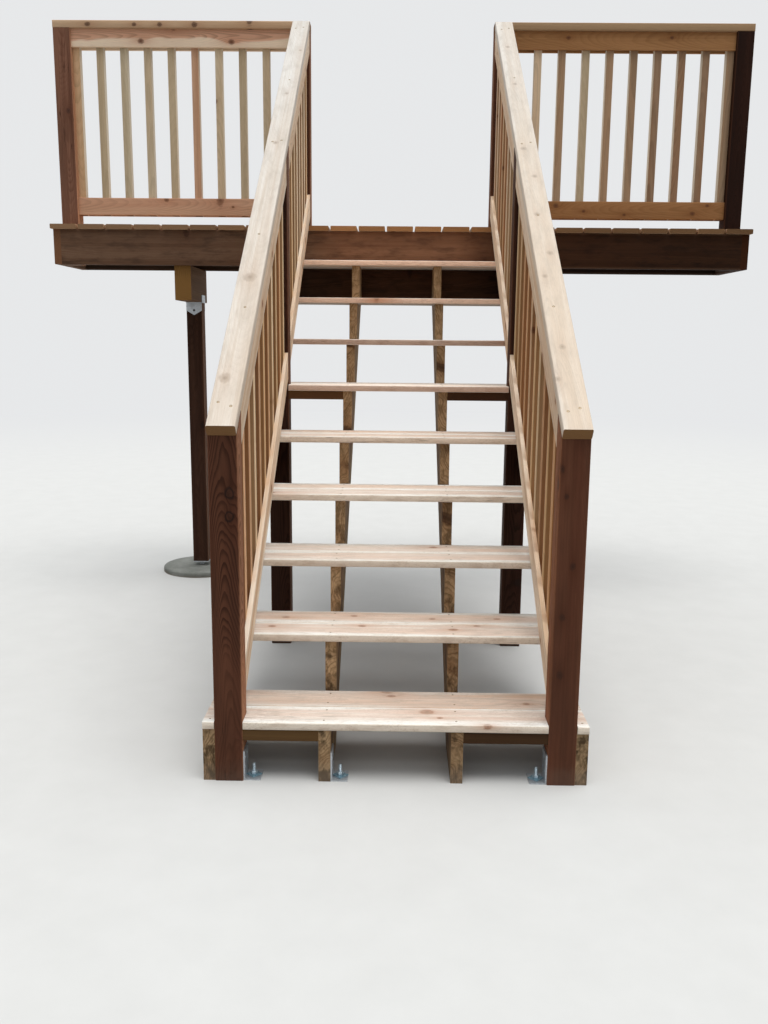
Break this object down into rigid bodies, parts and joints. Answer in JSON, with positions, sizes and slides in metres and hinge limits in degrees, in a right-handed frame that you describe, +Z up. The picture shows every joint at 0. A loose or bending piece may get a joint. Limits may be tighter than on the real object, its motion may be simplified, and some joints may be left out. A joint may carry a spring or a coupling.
{
  "type": "wooden deck stairs",
  "caption": "Straight open-riser flight of wooden deck stairs with sloped baluster guards on both sides, landing on the front bay of a raised deck.",
  "frame": {"origin": "on the ground at the middle of the whole footprint", "axes": "+X to the right of someone facing the flight from its foot, +Y the way one climbs, +Z up"},
  "size_m": [3.7558, 3.0298, 3.0113],
  "materials": {
    "tread_boards": "weathered pale cedar, satin",
    "stringer_boards": "treated yellow-brown, matt",
    "posts": "stained red-brown, satin",
    "guard_bars": "natural cedar, satin",
    "cap_boards": "natural cedar, satin",
    "dark_framing": "dark stained, matt",
    "deck_boards": "natural cedar, satin",
    "beam_timber": "treated olive-brown, matt",
    "zinc_steel": "galvanised",
    "concrete": "cast concrete, rough"
  },
  "bodies": {
    "root": {"tread_1": "tread_boards", "tread_2": "tread_boards", "tread_3": "tread_boards", "tread_4": "tread_boards", "tread_5": "tread_boards", "tread_6": "tread_boards", "tread_7": "tread_boards", "tread_8": "tread_boards", "tread_9": "tread_boards", "outer_stringer_left": "stringer_boards", "inner_stringer_left": "stringer_boards", "inner_stringer_right": "stringer_boards", "outer_stringer_right": "stringer_boards", "newel_post_left": "posts", "mid_post_left": "posts", "head_post_left": "posts", "corner_post_left": "posts", "lower_guard_left": "guard_bars", "upper_guard_left": "guard_bars", "deck_guard_left": "guard_bars", "stair_cap_left": "cap_boards", "deck_cap_left": "cap_boards", "newel_post_right": "posts", "mid_post_right": "posts", "head_post_right": "posts", "corner_post_right": "posts", "lower_guard_right": "guard_bars", "upper_guard_right": "guard_bars", "deck_guard_right": "guard_bars", "stair_cap_right": "cap_boards", "deck_cap_right": "cap_boards", "blocking_low": "stringer_boards", "blocking_high": "stringer_boards", "hanger_board": "dark_framing", "front_rim": "dark_framing", "back_joist": "dark_framing", "side_band": "dark_framing", "ledger": "dark_framing", "decking": "deck_boards", "beam": "beam_timber", "beam_post": "beam_timber", "post_cap": "zinc_steel", "post_base": "zinc_steel", "foot_brackets": "zinc_steel", "pier": "concrete"}
  },
  "joints": []
}
